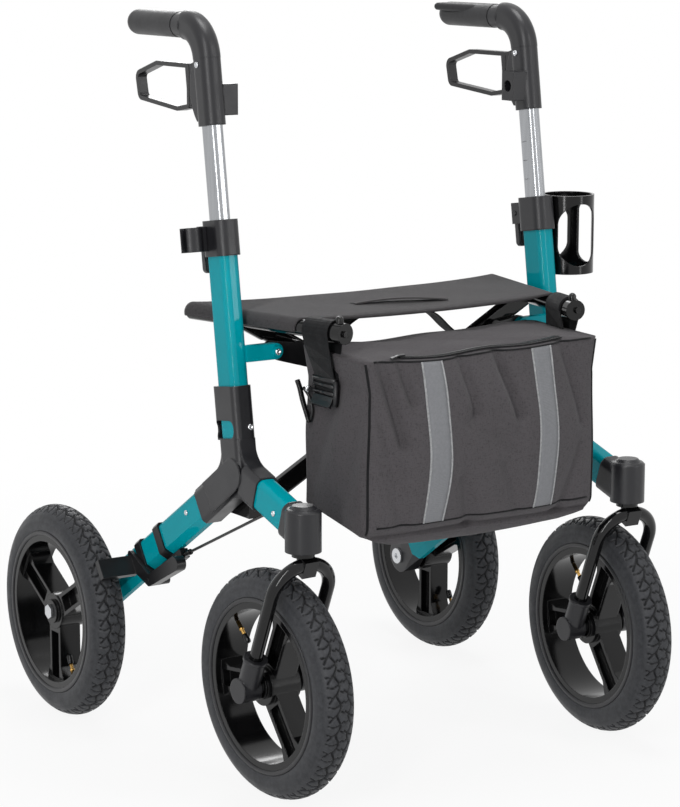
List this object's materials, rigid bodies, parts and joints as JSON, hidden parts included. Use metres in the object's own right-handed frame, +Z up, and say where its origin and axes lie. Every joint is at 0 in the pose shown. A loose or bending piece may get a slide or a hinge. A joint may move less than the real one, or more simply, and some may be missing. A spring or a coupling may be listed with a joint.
{
  "type": "all terrain rollator",
  "caption": "Folding walking frame with large air-filled wheels, swivel front casters, height-adjustable brake handles, sling seat and front bag.",
  "frame": {"origin": "on the floor below the centre of the bounding box", "axes": "+Z up, -Y toward the front, +X toward the user's left"},
  "size_m": [0.657, 0.7319, 0.9443],
  "materials": {
    "teal_paint": "satin teal paint",
    "black_paint": "gloss black paint",
    "satin_metal": "satin black coat",
    "satin_plastic": "fine matte grain",
    "gloss_plastic": "smooth gloss",
    "tyre": "matte moulded rubber",
    "steel": "bright plated",
    "silver_tube": "satin anodised",
    "grip_rubber": "soft matte",
    "seat_fabric": "coated weave",
    "bag_fabric": "plain weave",
    "webbing": "flat webbing"
  },
  "bodies": {
    "right_frame": {"right_upper_tube": "teal_paint", "right_y_joint": "satin_plastic", "right_rear_leg": "teal_paint", "right_front_leg": "teal_paint", "right_caster_head": "satin_plastic", "right_dropout": "satin_plastic", "right_height_clamp": "satin_plastic", "right_brake_bracket": "satin_metal", "right_brake_cable": "gloss_plastic", "right_rear_axle": "steel", "right_lower_pivot": "black_paint", "stick_clip": "satin_plastic"},
    "right_handle": {"right_handle_tube": "silver_tube", "right_handle_body": "satin_plastic", "right_grip": "grip_rubber"},
    "right_brake_lever": {"right_brake_lever": "satin_metal"},
    "right_brake_arm": {"right_brake_arm": "satin_metal"},
    "right_clamp_lever": {"right_clamp_lever": "satin_plastic"},
    "right_rear_wheel": {"right_rear_tyre": "tyre", "right_rear_rim": "gloss_plastic"},
    "right_caster": {"right_fork": "black_paint", "right_fork_sockets": "satin_plastic", "right_front_axle": "steel"},
    "right_front_wheel": {"right_front_tyre": "tyre", "right_front_rim": "gloss_plastic"},
    "left_frame": {"left_upper_tube": "teal_paint", "left_y_joint": "satin_plastic", "left_rear_leg": "teal_paint", "left_front_leg": "teal_paint", "left_caster_head": "satin_plastic", "left_dropout": "satin_plastic", "left_height_clamp": "satin_plastic", "left_brake_bracket": "satin_metal", "left_brake_cable": "gloss_plastic", "left_rear_axle": "steel", "left_lower_pivot": "black_paint", "cup_holder": "gloss_plastic"},
    "left_handle": {"left_handle_tube": "silver_tube", "left_handle_body": "satin_plastic", "left_grip": "grip_rubber"},
    "left_brake_lever": {"left_brake_lever": "satin_metal"},
    "left_brake_arm": {"left_brake_arm": "satin_metal"},
    "left_clamp_lever": {"left_clamp_lever": "satin_plastic"},
    "left_rear_wheel": {"left_rear_tyre": "tyre", "left_rear_rim": "gloss_plastic"},
    "left_caster": {"left_fork": "black_paint", "left_fork_sockets": "satin_plastic", "left_front_axle": "steel"},
    "left_front_wheel": {"left_front_tyre": "tyre", "left_front_rim": "gloss_plastic"},
    "front_bar": {"right_cross_bar": "black_paint", "left_seat_tube": "black_paint", "left_seat_link": "satin_metal", "seat_sling": "seat_fabric", "lift_strap": "webbing"},
    "rear_bar": {"left_cross_bar": "black_paint", "right_seat_tube": "black_paint", "right_seat_link": "satin_metal"},
    "bag": {"bag": "bag_fabric", "bag_straps": "webbing"}
  },
  "joints": [
    {"name": "fold", "type": "hinge", "parent": "right_frame", "child": "front_bar", "pos_m": [-0.206, -0.1, 0.335], "axis": [0, -1, 0], "range_deg": [0, 40], "deforming": ["seat_sling", "lift_strap", "bag", "bag_straps"]},
    {"name": "fold_cross", "type": "hinge", "parent": "front_bar", "child": "rear_bar", "pos_m": [0, -0.1, 0.4506], "axis": [0, 1, 0], "range_deg": [0, 80]},
    {"name": "fold_left", "type": "hinge", "parent": "rear_bar", "child": "left_frame", "pos_m": [0.206, -0.1, 0.335], "axis": [0, -1, 0], "range_deg": [0, 40]},
    {"name": "bag_hang", "type": "hinge", "parent": "front_bar", "child": "bag", "pos_m": [0.17501, -0.2559, 0.569], "axis": [0, 1, 0], "range_deg": [0, 40]},
    {"name": "right_handle_height", "type": "slide", "parent": "right_frame", "child": "right_handle", "axis": [0, 0.1426, 0.9898], "range_m": [-0.09, 0.07]},
    {"name": "right_brake_squeeze", "type": "hinge", "parent": "right_handle", "child": "right_brake_lever", "pos_m": [-0.242, -0.05848, 0.88], "axis": [1, 0, 0], "range_deg": [0, 14], "stiffness_Nm_per_rad": 4, "springref_deg": -5.73},
    {"name": "right_brake_press", "type": "hinge", "parent": "right_frame", "child": "right_brake_arm", "pos_m": [-0.24754, 0.05479, 0.21287], "axis": [-1, 0, 0], "range_deg": [0, 4]},
    {"name": "right_clamp", "type": "hinge", "parent": "right_frame", "child": "right_clamp_lever", "pos_m": [-0.242, -0.05625, 0.66828], "axis": [1, 0, 0], "range_deg": [0, 80]},
    {"name": "right_rear_wheel_spin", "type": "hinge", "parent": "right_frame", "child": "right_rear_wheel", "pos_m": [-0.3035, 0.224, 0.142], "axis": [1, 0, 0], "continuous": true},
    {"name": "right_caster_swivel", "type": "hinge", "parent": "right_frame", "child": "right_caster", "pos_m": [-0.247, -0.282, 0.3], "axis": [0, 0, 1], "continuous": true},
    {"name": "right_front_wheel_spin", "type": "hinge", "parent": "right_caster", "child": "right_front_wheel", "pos_m": [-0.25024, -0.22409, 0.142], "axis": [0.9984, 0.0558, 0], "continuous": true},
    {"name": "left_handle_height", "type": "slide", "parent": "left_frame", "child": "left_handle", "axis": [0, 0.1426, 0.9898], "range_m": [-0.09, 0.07]},
    {"name": "left_brake_squeeze", "type": "hinge", "parent": "left_handle", "child": "left_brake_lever", "pos_m": [0.242, -0.05848, 0.88], "axis": [1, 0, 0], "range_deg": [0, 14], "stiffness_Nm_per_rad": 4, "springref_deg": -5.73},
    {"name": "left_brake_press", "type": "hinge", "parent": "left_frame", "child": "left_brake_arm", "pos_m": [0.24754, 0.05479, 0.21287], "axis": [-1, 0, 0], "range_deg": [0, 4]},
    {"name": "left_clamp", "type": "hinge", "parent": "left_frame", "child": "left_clamp_lever", "pos_m": [0.242, -0.05625, 0.66828], "axis": [1, 0, 0], "range_deg": [0, 80]},
    {"name": "left_rear_wheel_spin", "type": "hinge", "parent": "left_frame", "child": "left_rear_wheel", "pos_m": [0.3035, 0.224, 0.142], "axis": [1, 0, 0], "continuous": true},
    {"name": "left_caster_swivel", "type": "hinge", "parent": "left_frame", "child": "left_caster", "pos_m": [0.247, -0.282, 0.3], "axis": [0, 0, 1], "continuous": true},
    {"name": "left_front_wheel_spin", "type": "hinge", "parent": "left_caster", "child": "left_front_wheel", "pos_m": [0.25024, -0.22409, 0.142], "axis": [0.9984, -0.0558, 0], "continuous": true}
  ],
  "couplings": [
    {"joint": "fold_cross", "follows": "fold", "ratio": 2},
    {"joint": "fold_left", "follows": "fold", "ratio": 1},
    {"joint": "bag_hang", "follows": "fold", "ratio": 1},
    {"joint": "right_brake_press", "follows": "right_brake_squeeze", "ratio": 0.28571},
    {"joint": "left_brake_press", "follows": "left_brake_squeeze", "ratio": 0.28571}
  ]
}
